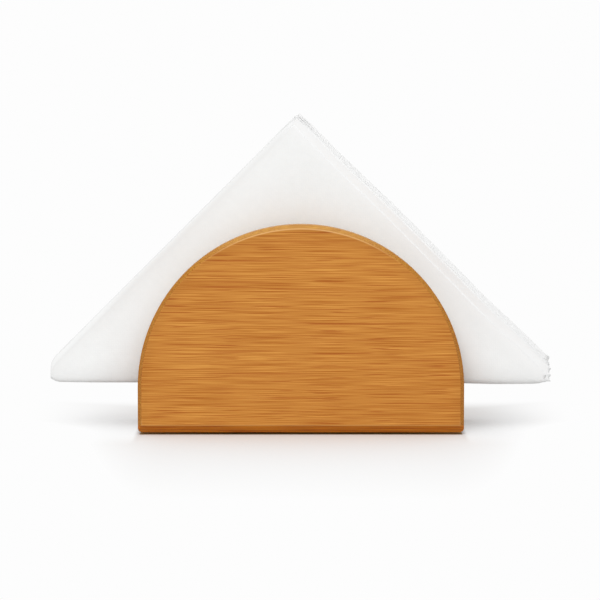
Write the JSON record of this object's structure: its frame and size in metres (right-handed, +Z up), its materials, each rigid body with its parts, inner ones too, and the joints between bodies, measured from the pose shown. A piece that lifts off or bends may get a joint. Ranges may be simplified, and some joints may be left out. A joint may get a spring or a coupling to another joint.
{
  "type": "napkin holder with drawer",
  "caption": "Half-round bamboo napkin holder with folded paper napkins standing between its panels and a shallow drawer that slides out of one end of its base.",
  "frame": {"origin": "at table level, below the middle of the holder: half way along the panels and half way between their outer faces", "axes": "+X to the right along the front panel, towards the drawer's knob; +Y from the front panel to the rear panel; +Z up"},
  "size_m": [0.218, 0.056, 0.1374],
  "materials": {
    "bamboo": "satin",
    "drawer_wood": "matte",
    "dowel_wood": "matte",
    "pad": "matte",
    "steel": "satin",
    "paper": "matte"
  },
  "bodies": {
    "holder": {"front_panel": "bamboo", "rear_panel": "bamboo", "napkin_shelf": "bamboo", "bottom_board": "bamboo", "end_block": "bamboo", "end_block_dowels": "dowel_wood", "drawer_stop_pin": "dowel_wood", "foot_pads": "pad"},
    "drawer": {"drawer_front": "bamboo", "drawer_wall_near": "drawer_wood", "drawer_wall_far": "drawer_wood", "drawer_back": "drawer_wood", "drawer_bottom": "drawer_wood", "drawer_knob": "bamboo", "knob_screw": "steel", "drawer_brads": "steel"},
    "napkins": {"napkin_01": "paper", "napkin_02": "paper", "napkin_03": "paper", "napkin_04": "paper", "napkin_05": "paper", "napkin_06": "paper", "napkin_07": "paper", "napkin_08": "paper", "napkin_09": "paper", "napkin_10": "paper"}
  },
  "joints": [
    {"name": "drawer_slide", "type": "slide", "parent": "holder", "child": "drawer", "axis": [1, 0, 0], "range_m": [0, 0.0863]},
    {"name": "napkin_lift", "type": "slide", "parent": "holder", "child": "napkins", "axis": [0, 0, 1], "range_m": [0, 0.09]}
  ]
}
